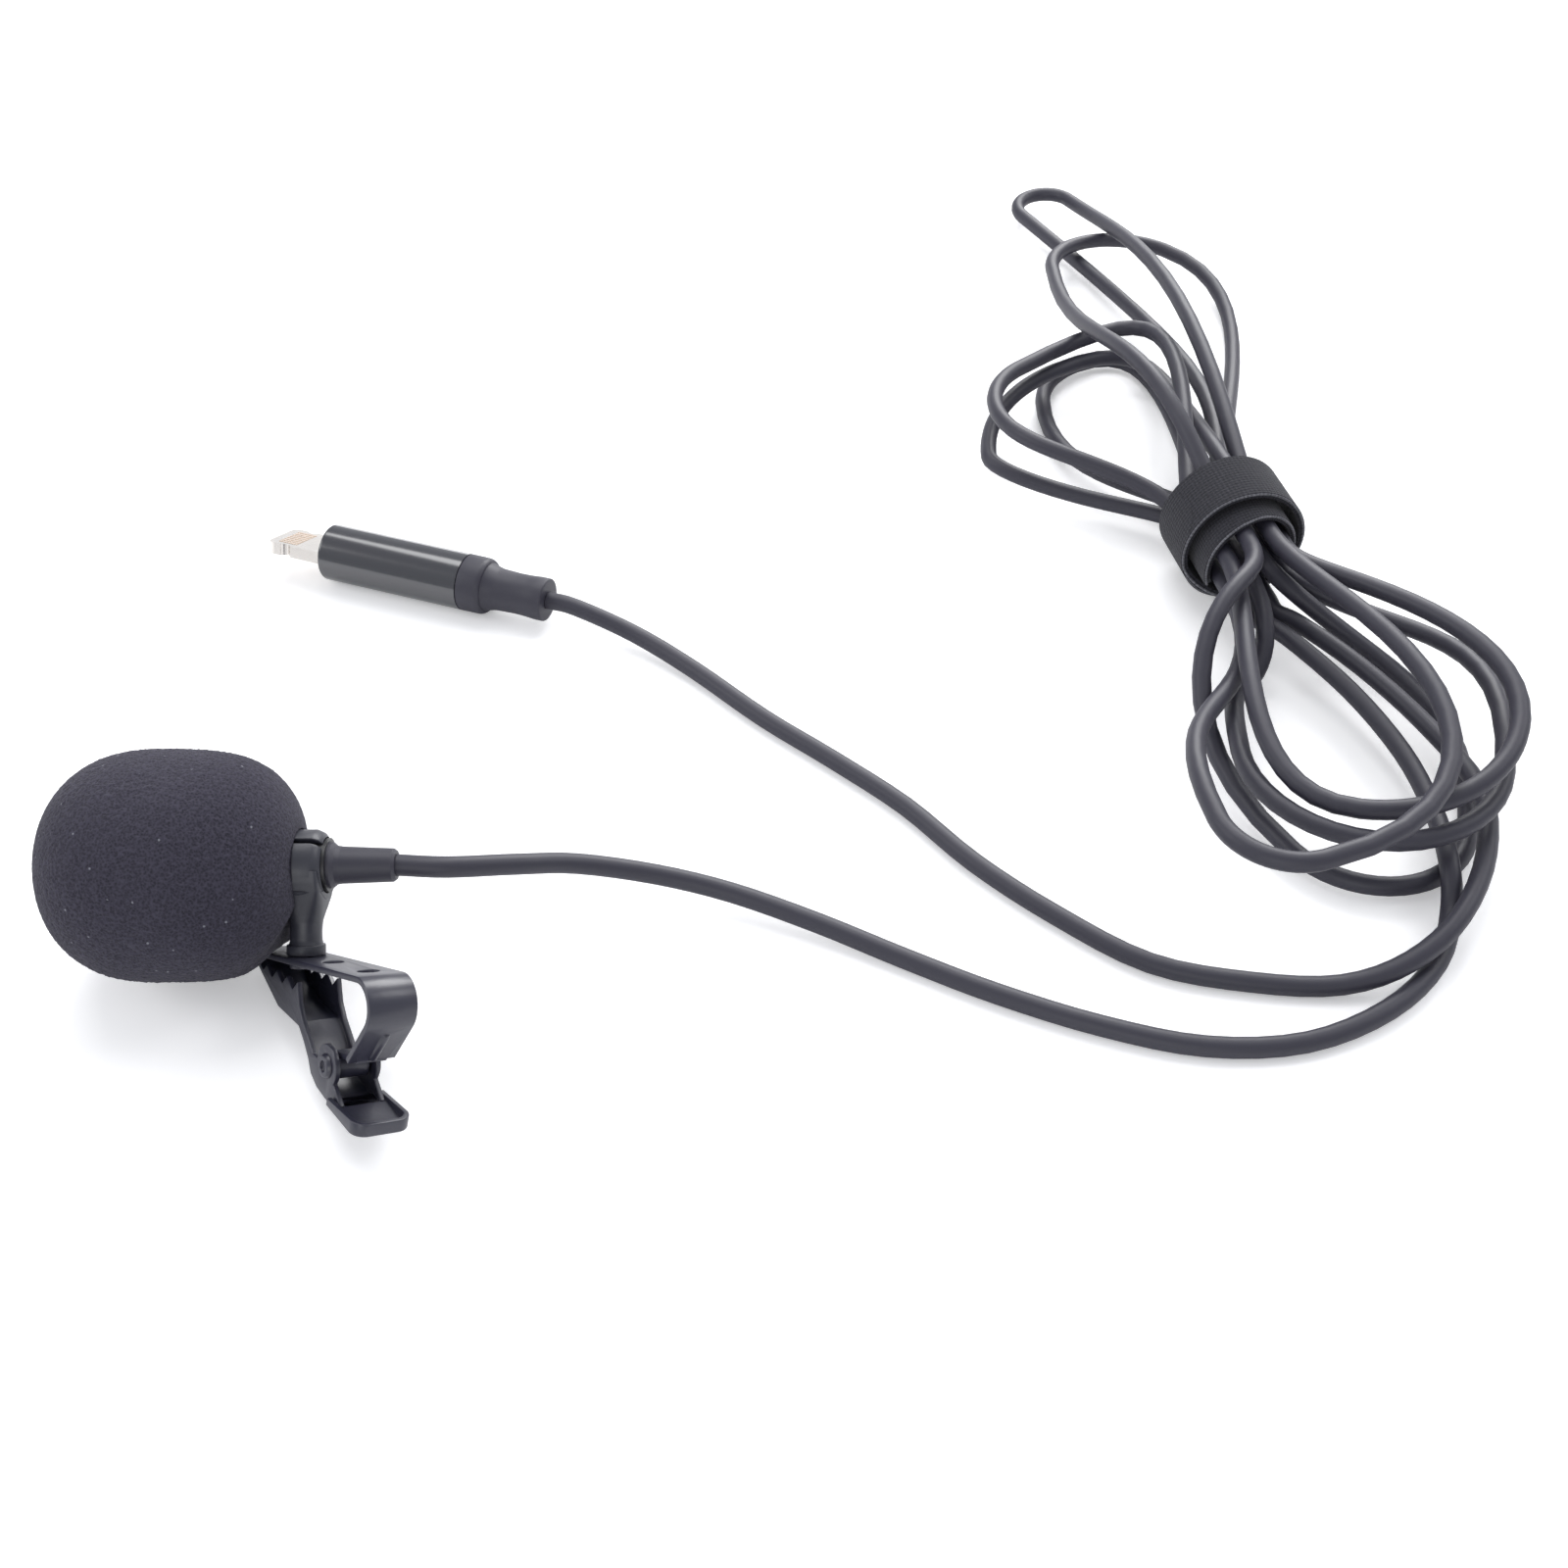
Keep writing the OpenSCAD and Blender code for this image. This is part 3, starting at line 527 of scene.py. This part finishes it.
def bored(mesh, radius):
    """A mesh with a hole of this radius in mm through it along the microphone's axis."""
    hole_length = 20.0
    place = Matrix.Translation(Vector((SWIVEL_X, AXIS_Y, AXIS_Z)) * MM)
    place = place @ Matrix.Rotation(math.radians(90), 4, "Y")
    shape = bmesh.new()
    bmesh.ops.create_cone(shape, cap_ends=True, segments=96, radius1=radius * MM, radius2=radius * MM,
                          depth=hole_length * MM, matrix=place)
    drill_mesh = bpy.data.meshes.new("drill")
    shape.to_mesh(drill_mesh)
    shape.free()
    drill, block = bpy.data.objects.new("drill", drill_mesh), bpy.data.objects.new("block", mesh)
    for thing in (drill, block):
        bpy.context.scene.collection.objects.link(thing)
    cut = block.modifiers.new("Bore", "BOOLEAN")
    cut.object = drill
    cut.operation = "DIFFERENCE"
    cut.solver = "EXACT"
    result = bpy.data.meshes.new_from_object(block.evaluated_get(bpy.context.evaluated_depsgraph_get()))
    for thing in (drill, block):
        bpy.data.objects.remove(thing)
    smooth(result, 40)
    return result


# Foam windscreen.
def foam_lap(up):
    """How far the foam's lip laps over the holder's ring: nowhere in front of the stem."""
    if up > 0:
        return LIP_REACH
    # Distance beside the stem at 6 mm from the axis: the lip begins at 1.9 mm and is whole at 3.4 mm.
    beside = math.sqrt(1 - min(up * up, 1.0)) * 6
    return LIP_REACH * min(max((beside - 1.9) / 1.5, 0.0), 1.0)


def foam_radius(x, up, sizes):
    """Radius of the foam at x: squarish in front, fullest behind on the side away from the clip."""
    rear_sides, rear_below = 2.35, 3.0
    half = FOAM_HALF + (foam_lap(up) if x > FOAM_MIDDLE else 0.0)
    a = max(-1.0, min((x - FOAM_MIDDLE) / half, 1.0))
    if a < 0:
        power = sizes.squareness
    else:
        power = rear_sides + ((sizes.fullness if up > 0 else rear_below) - rear_sides) * up * up
    radius = FOAM_R * (1 - abs(a) ** power) ** (1 / power)
    # Its rear bulges by 1 mm below, and is drawn in by 0.2 mm above.
    return radius - max(a, 0.0) ** 2 * min(up, 0.2)


def dented(r, up, spot, clip):
    """A radius of the foam at a spot in mm, pressed in where the clip's strip lies under it."""
    origin, back, across = clip[:3]
    gap, slope, fade, drawn_in = 0.35, 0.7, 1.2, 0.3
    local = spot - origin
    aside = max(0.0, abs(local.dot(across)) - STRIP_WIDTH / 2, STRIP_FRONT - local.dot(back))
    limit = (STEM_DROP - gap) / -up + slope * aside ** 1.5
    ease = max(fade - abs(r - limit), 0.0) / fade
    return min(r, limit) - ease * ease * drawn_in


def foam_mesh(sizes):
    """The foam's skin: a squarish ball with its cells pitted into it, pressed in over the clip."""
    rings, sides = 210, 420
    end_crowding, lip_end = 0.85, 0.999
    lumps_per_mm, specks_per_mm, cell = 0.11, 5.1, 0.4
    under = -0.2
    lump_height, pore_depth = sizes.lumps / MM, sizes.pores / MM
    clip = clip_frame()
    middle = Vector((0, AXIS_Y, AXIS_Z))
    turns = [2 * math.pi * k / sides for k in range(sides)]
    ways = [Vector((0, math.cos(t), math.sin(t))) for t in turns]
    inner, outer = HOUSING_R + HOUSING_GAP, RING_R + LIP_GAP
    points, faces = [], []
    for i in range(rings + 1):
        # Stations from the tip to the mouth, closer together at both ends.
        c = math.cos(math.pi * i / rings)
        station = -math.copysign(abs(c) ** end_crowding, c)
        for out in ways:
            up = out.dot(clip[3])
            lap = foam_lap(up)
            x = FOAM_MIDDLE + station * (FOAM_HALF + (lap if station > 0 else 0.0))
            x = min(x, MOUTH + lap)
            base = foam_radius(x, up, sizes)
            if station > 0:
                base = max(base, outer)
            p = Vector((x, 0, 0)) + middle + out * base
            edge = min(1.0, (base - HOUSING_R) / 2.0)
            lump = noise.noise(p * lumps_per_mm) * lump_height * 2
            near = noise.voronoi(p / cell)[0][0]
            pit = (near - 0.5) * pore_depth * 1.4 + noise.noise(p * specks_per_mm) * pore_depth
            r = base + (lump + pit) * edge - lump_height
            if up < under:
                r = dented(r, up, p, clip)
            r = max(r, outer) if station > 0 else max(r, 0.0)
            if station > lip_end:
                r = outer
            points.append((Vector((x, 0, 0)) + middle + out * r) * MM)
    # The mouth turns in to the bore, which ends just ahead of the capsule.
    bore_end = HOUSING_FRONT - 0.1
    corners = [(MOUTH, outer), (MOUTH, inner), (0.0, inner), (bore_end, inner), (bore_end, 0.0)]
    for x, r in corners:
        points += [(Vector((x, 0, 0)) + middle + out * r) * MM for out in ways]
    for i in range(rings + len(corners)):
        for k in range(sides):
            a, b = i * sides + k, i * sides + (k + 1) % sides
            faces.append((a, b, b + sides, a + sides))
    return skin("foam_ball", points, faces, 60, weld=0.004 * MM)


# Cord.
def level(degrees):
    """The level direction at a heading in degrees from x towards y."""
    a = math.radians(degrees)
    return Vector((math.cos(a), math.sin(a), 0))


TIE_AXIS = level(TIE_HEADING)
TIE_RIGHT = level(TIE_HEADING + 90)
UP = Vector((0, 0, 1))


def pass_point(number, along):
    """Point on a numbered pass through the tie, at a distance along the tie's axis."""
    if number < RING_PASSES:
        a = 2 * math.pi * (number + 0.5) / RING_PASSES
        right, up = PASS_RING_R * math.cos(a), PASS_RING_R * math.sin(a)
    else:
        right, up = (-PASS_CORE_X if number == RING_PASSES else PASS_CORE_X), 0
    return TIE_CENTRE + TIE_AXIS * along + TIE_RIGHT * right + UP * up


def run(a, b, c, d, arch, steps, last):
    """A run between the tie and a round end: a cubic curve that also arches, up to its point last."""
    points = []
    for k in range(last + 1):
        f = k / steps
        g = 1 - f
        p = a * g ** 3 + b * 3 * g * g * f + c * 3 * g * f * f + d * f ** 3
        points.append(p + UP * arch * math.sin(math.pi * f) ** 2)
    return points


def lobe(i, steps):
    """Points of one lobe of the hank, from the tie round its end and back."""
    tip, heading, turn, radius, sweep, rise, handles, arches = LOBES[i]
    edge, away = (TIE_HIGH, -TIE_AXIS) if i % 2 == 0 else (TIE_LOW, TIE_AXIS)
    ahead, side = level(heading), turn * level(heading + 90)

    def end_point(g):
        a = math.radians(g)
        flat = radius * (side + ahead * math.sin(a) - side * math.cos(a))
        return Vector(tip) + flat + UP * rise * g / sweep

    def end_travel(g):
        a = math.radians(g)
        return ahead * math.cos(a) + side * math.sin(a) + UP * rise / (radius * math.radians(sweep))

    a, b = pass_point(PASS_ORDER[i], edge), pass_point(PASS_ORDER[i + 1], edge)
    p, q = end_point(-sweep), end_point(sweep)
    out = run(a, a + away * handles[0], p - end_travel(-sweep) * handles[1], p, arches[0], steps, steps - 1)
    ends = [end_point(sweep * (2 * k / steps - 1)) for k in range(steps)]
    back = run(q, q + end_travel(sweep) * handles[2], b + away * handles[3], b, arches[1], steps, steps)
    return out + ends + back


def spline(points, steps):
    """Rounds a route between its points."""
    out = []
    for i in range(len(points) - 1):
        p, q = points[i], points[i + 1]
        before = points[i - 1] if i else 2 * p - q
        after = points[i + 2] if i + 2 < len(points) else 2 * q - p
        for k in range(steps):
            f = k / steps
            out.append(0.5 * (2 * p + (q - before) * f + (2 * before - 5 * p + 4 * q - after) * f * f
                              + (3 * p - before - 3 * q + after) * f ** 3))
    return out


def cord_route(steps):
    """The whole cord, from the microphone's strain relief through the hank to the plug."""
    first, last = PASS_ORDER[0], PASS_ORDER[-1]
    lead = [RELIEF_END] + [Vector(p) for p in MIC_ROUTE]
    lead += [pass_point(first, TIE_LOW + END_STUB * k) for k in (2, 1)]
    points = spline(lead, 4)
    points += [pass_point(first, TIE_LOW + END_STUB)]
    for i in range(len(LOBES)):
        points += lobe(i, steps)
    tail = [pass_point(last, TIE_LOW + END_STUB * k) for k in (1, 2)]
    tail += [Vector(p) for p in reversed(PLUG_ROUTE)] + [PLUG_END]
    points += spline(tail, 4) + [PLUG_END]
    return [p * MM for p in points]


# Hook-and-loop tie.
def wander(turned, length, track):
    """How the strap wavers, from -1 to 1, over about this many degrees of its winding."""
    return noise.noise(Vector((turned / length, track, 0)))


def strap_mesh(thickness):
    """The strap: from its rounded inner end once round inside, then once round outside."""
    stations, rows = 168, 9
    start, sweep = 224.0, 800.0
    inner_r, outer_r, widest = 5.5, 7.2, 8.1
    lift_from, lift_over = 330.0, 60.0
    end_corner = 3.2
    layer = thickness / MM
    edge_height = 0.7
    points, near_edge, far_edge = [], [], []
    for i in range(stations + 1):
        turned = sweep * (i / stations)
        angle = math.radians(start - turned)
        step = min(max((turned - lift_from) / lift_over, 0.0), 1.0)
        step = step * step * (3 - 2 * step)
        radius = inner_r + (outer_r - inner_r) * step + 0.12 * wander(turned, 70, 0)
        radius = min(radius, widest - layer)
        # The inner layer stands out furthest on the left, where the strap begins.
        near = TIE_LOW - 0.25 - 3.5 * step - (1 - step) * (1 + math.cos(angle)) + 0.2 * wander(turned, 60, 5)
        far = TIE_HIGH + 2.2 * (1 - step) + 0.3 + 0.25 * wander(turned, 80, 9)
        # Both ends of the strap are cut round.
        reach = min(turned, sweep - turned) * math.radians(1) * radius
        if reach < end_corner:
            bite = end_corner - math.sqrt(max(end_corner ** 2 - (end_corner - reach) ** 2, 0.0))
            near, far = near - bite, far + bite
        out = TIE_RIGHT * math.cos(angle) + UP * math.sin(angle)
        across = [far + (near - far) * k / (rows - 1) for k in range(rows)]
        points += [(TIE_CENTRE + TIE_AXIS * place + out * (radius + layer)) * MM for place in across]
        points += [(TIE_CENTRE + TIE_AXIS * place + out * radius) * MM for place in reversed(across)]
        for edge, place in ((near_edge, near), (far_edge, far)):
            edge.append((TIE_CENTRE + TIE_AXIS * place + out * (radius + layer * edge_height)) * MM)
    loop = 2 * rows
    faces = [(i * loop + k, i * loop + (k + 1) % loop, (i + 1) * loop + (k + 1) % loop, (i + 1) * loop + k)
             for i in range(stations) for k in range(loop)]
    faces += [tuple(range(loop)), tuple(reversed(range(stations * loop, (stations + 1) * loop)))]
    return skin("tie_strap", points, faces, 40), near_edge, far_edge


class LAVALIER_OT_cord(bpy.types.Operator):
    """Lays the cord from the microphone through the hank to the plug"""
    bl_idname = "lavalier.cord"
    bl_label = "Cord"

    def execute(self, context):
        sizes, look = context.scene.lavalier_cord, context.scene.lavalier_finishes
        points = cord_route(sizes.steps)
        piece = curve_piece("cord", points, sizes.diameter / 2, 5, cord_material(look))
        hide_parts("cord_mic_lead", "cord_hank", "cord_plug_lead")
        return {"FINISHED"}


class LAVALIER_OT_boot(bpy.types.Operator):
    """Makes the plug's rubber collar and its waisted strain relief"""
    bl_idname = "lavalier.boot"
    bl_label = "Plug boot"

    def execute(self, context):
        rubber = rubber_material(context.scene.lavalier_finishes)
        bore = context.scene.lavalier_cord.diameter / MM / 2
        relief = ((0, bore), (0, 2.72), (1.3, 2.72), (2.6, 2.6), (4.2, 2.56), (6.6, 2.66), (7.6, 2.9),
                  (8.3, 3.2), (8.3, bore))
        collar = ((8.0, 2.4), (8.0, 3.3), (8.5, 3.58), (11.2, 3.6), (11.2, 2.4))
        lathe("plug_relief", relief, rubber, "plug_strain_relief")
        lathe("plug_ring", collar, rubber, "plug_collar")
        return {"FINISHED"}


class LAVALIER_OT_tie(bpy.types.Operator):
    """Wraps the hook-and-loop tie round the waist of the hank"""
    bl_idname = "lavalier.tie"
    bl_label = "Cable tie"

    def execute(self, context):
        sizes, look = context.scene.lavalier_cord, context.scene.lavalier_finishes
        mesh, near_edge, far_edge = strap_mesh(sizes.strap)
        woven = strap_material(look)
        put("tie_strap", mesh, "microphone", woven, ("cable_tie",))
        # A fine pale line runs along both edges: a painted highlight on the strap's rims.
        pale = strap_material(look, "Nylon strap edge, painted highlight", look.strap_edge_highlight)
        edge_line_r = 0.17 * MM
        for name, points in (("tie_edge_near", near_edge), ("tie_edge_far", far_edge)):
            curve_piece(name, points, edge_line_r, 2, pale)
        return {"FINISHED"}


class LAVALIER_OT_foam(bpy.types.Operator):
    """Makes the foam windscreen"""
    bl_idname = "lavalier.foam"
    bl_label = "Foam windscreen"

    def execute(self, context):
        sizes, look = context.scene.lavalier_head, context.scene.lavalier_finishes
        put("foam_ball", foam_mesh(sizes), "windscreen", foam_material(look), ("foam_windscreen",))
        return {"FINISHED"}


class LAVALIER_OT_head(bpy.types.Operator):
    """Finishes the capsule, its housing and the strain relief"""
    bl_idname = "lavalier.head"
    bl_label = "Microphone head"

    def execute(self, context):
        look = context.scene.lavalier_finishes
        plain, rubber, holder = plain_materials(), rubber_material(look), holder_material(look)
        for node, made in (
            ("front_grille", plain["mesh_metal"]), ("dust_felt", plain["felt"]), ("capsule_gasket", rubber),
            ("electret_capsule", plain["capsule_can"]), ("amplifier_board", plain["circuit_board"]),
            ("core_wires", plain["red_insulation"]), ("capsule_housing", plain["housing_paint"]),
            ("rear_bush", holder), ("mic_strain_relief", rubber), ("plug_barrel", barrel_material(look)),
            ("plug_inner_body", plain["inner_moulding"]), ("converter_board", plain["circuit_board"]),
            ("plug_tongue", nickel_material(look)), ("plug_contacts", gold_material(look)),
        ):
            dress(node, made)
        return {"FINISHED"}


class LAVALIER_OT_clip(bpy.types.Operator):
    """Makes the holder, the spring strip, the jaw and the rivet with rounded edges"""
    bl_idname = "lavalier.clip"
    bl_label = "Holder and tie clip"

    def execute(self, context):
        sizes, look = context.scene.lavalier_head, context.scene.lavalier_finishes
        paint, plastic = clip_material(look), holder_material(look)
        soften("holder", "holder_ring", "holder", plastic, sizes.edge)
        put("stem", stem_mesh(), "holder", plastic)
        for name, node, body in (("stud", "swivel_stud", "holder"), ("strip", "spring_strip", "clip_strip"),
                                 ("jaw_plate", "clip_jaw", "jaw"), ("rivet", "pivot_rivet", "jaw")):
            soften(name, node, body, paint, sizes.edge)
        return {"FINISHED"}


class LAVALIER_OT_camera(bpy.types.Operator):
    """Sets up the camera"""
    bl_idname = "lavalier.camera"
    bl_label = "Camera"

    def execute(self, context):
        place, tilt = Vector((54.4, -107.0, 137.9)), 45
        data = bpy.data.cameras.new("camera")
        data.sensor_width = 36
        data.lens = context.scene.lavalier_stage.lens
        data.clip_start, data.clip_end = 0.005, 10
        camera = bpy.data.objects.new("camera", data)
        camera.location = place * MM
        camera.rotation_euler = (math.radians(tilt), 0, 0)
        context.scene.collection.objects.link(camera)
        context.scene.camera = camera
        return {"FINISHED"}


class LAVALIER_OT_stage(bpy.types.Operator):
    """Makes the floor and the soft studio light"""
    bl_idname = "lavalier.stage"
    bl_label = "Stage"

    def execute(self, context):
        settings = context.scene.lavalier_stage
        made, tree, shader, _ = surface("White card", settings.floor, 0.9)
        shader.inputs["Specular IOR Level"].default_value = 0.1
        rays = add_node(tree, "ShaderNodeLightPath")
        # The card looks whiter than it lights the object.
        lift = add_node(tree, "ShaderNodeMath", {0: rays.outputs["Is Camera Ray"], 1: 0.28},
                        operation="MULTIPLY")
        glow = add_node(tree, "ShaderNodeEmission",
                        {"Color": (1, 1, 1, 1), "Strength": lift.outputs["Value"]})
        both = add_node(tree, "ShaderNodeAddShader", {0: shader.outputs["BSDF"], 1: glow.outputs["Emission"]})
        tree.links.new(both.outputs["Shader"], tree.nodes["Material Output"].inputs["Surface"])
        mesh = bpy.data.meshes.new("floor")
        far = 3.0  # metres
        mesh.from_pydata([(-far, -far, 0), (far, -far, 0), (far, far, 0), (-far, far, 0)], [], [(0, 1, 2, 3)])
        mesh.materials.append(made)
        floor = bpy.data.objects.new("floor", mesh)
        context.scene.collection.objects.link(floor)

        world = bpy.data.worlds.new("studio")
        world.use_nodes = True
        tree = world.node_tree
        sky = tree.nodes["Background"]
        sky.inputs["Color"].default_value = (0.93, 0.95, 1.0, 1)
        sky.inputs["Strength"].default_value = 0.6
        # The backdrop is white to look at, and no brighter than the sky as a light.
        backdrop = add_node(tree, "ShaderNodeBackground", {"Color": (1, 1, 1, 1), "Strength": 1.0})
        seen = add_node(tree, "ShaderNodeLightPath")
        chosen = add_node(tree, "ShaderNodeMixShader",
                          {0: seen.outputs["Is Camera Ray"], 1: sky.outputs["Background"],
                           2: backdrop.outputs["Background"]})
        tree.links.new(chosen.outputs["Shader"], tree.nodes["World Output"].inputs["Surface"])
        context.scene.world = world
        centre = Vector((0.055, 0.04, 0.0))
        for name, place, size, power in (
            ("softbox_top", (-0.05, 0.38, 0.75), 0.5, 2.8),
            ("softbox_front", (-0.12, -0.95, 0.42), 0.45, 1.8),
            ("softbox_left", (-0.65, 0.0, 0.45), 0.35, 1.6),
            ("softbox_right", (0.65, 0.25, 0.5), 0.3, 1.2),
            ("softbox_back", (0.3, 0.85, 0.45), 0.5, 6.5),
        ):
            data = bpy.data.lights.new(name, "AREA")
            data.shape = "SQUARE"
            data.size = size
            data.energy = power
            lamp = bpy.data.objects.new(name, data)
            lamp.location = place
            lamp.rotation_euler = (centre - Vector(place)).to_track_quat("-Z", "Y").to_euler()
            context.scene.collection.objects.link(lamp)
        context.scene.view_settings.view_transform = "Standard"
        return {"FINISHED"}


class LAVALIER_PT_panel(bpy.types.Panel):
    """Lists the microphone's pieces and settings"""
    bl_idname = "LAVALIER_PT_panel"
    bl_label = "Lavalier microphone"
    bl_space_type = "VIEW_3D"
    bl_region_type = "UI"
    bl_category = "Lavalier"

    def draw(self, context):
        scene = context.scene
        for group in (scene.lavalier_head, scene.lavalier_cord, scene.lavalier_finishes,
                      scene.lavalier_stage):
            box = self.layout.box()
            for name in group.__annotations__:
                box.prop(group, name)
        for operator in OPERATORS:
            self.layout.operator(operator.bl_idname)


OPERATORS = (LAVALIER_OT_camera, LAVALIER_OT_tie, LAVALIER_OT_boot, LAVALIER_OT_cord,
             LAVALIER_OT_foam, LAVALIER_OT_head, LAVALIER_OT_clip, LAVALIER_OT_stage)
GROUPS = {"lavalier_head": HeadSizes, "lavalier_cord": CordSizes, "lavalier_finishes": Finishes,
          "lavalier_stage": StageSettings}


def register():
    for kind in (*GROUPS.values(), *OPERATORS, LAVALIER_PT_panel):
        bpy.utils.register_class(kind)
    for name, group in GROUPS.items():
        setattr(bpy.types.Scene, name, PointerProperty(type=group))


def unregister():
    for name in GROUPS:
        delattr(bpy.types.Scene, name)
    for kind in reversed((*GROUPS.values(), *OPERATORS, LAVALIER_PT_panel)):
        bpy.utils.unregister_class(kind)


def main():
    register()
    for operator in OPERATORS:
        group, name = operator.bl_idname.split(".")
        getattr(getattr(bpy.ops, group), name)()


if __name__ == "__main__":
    main()
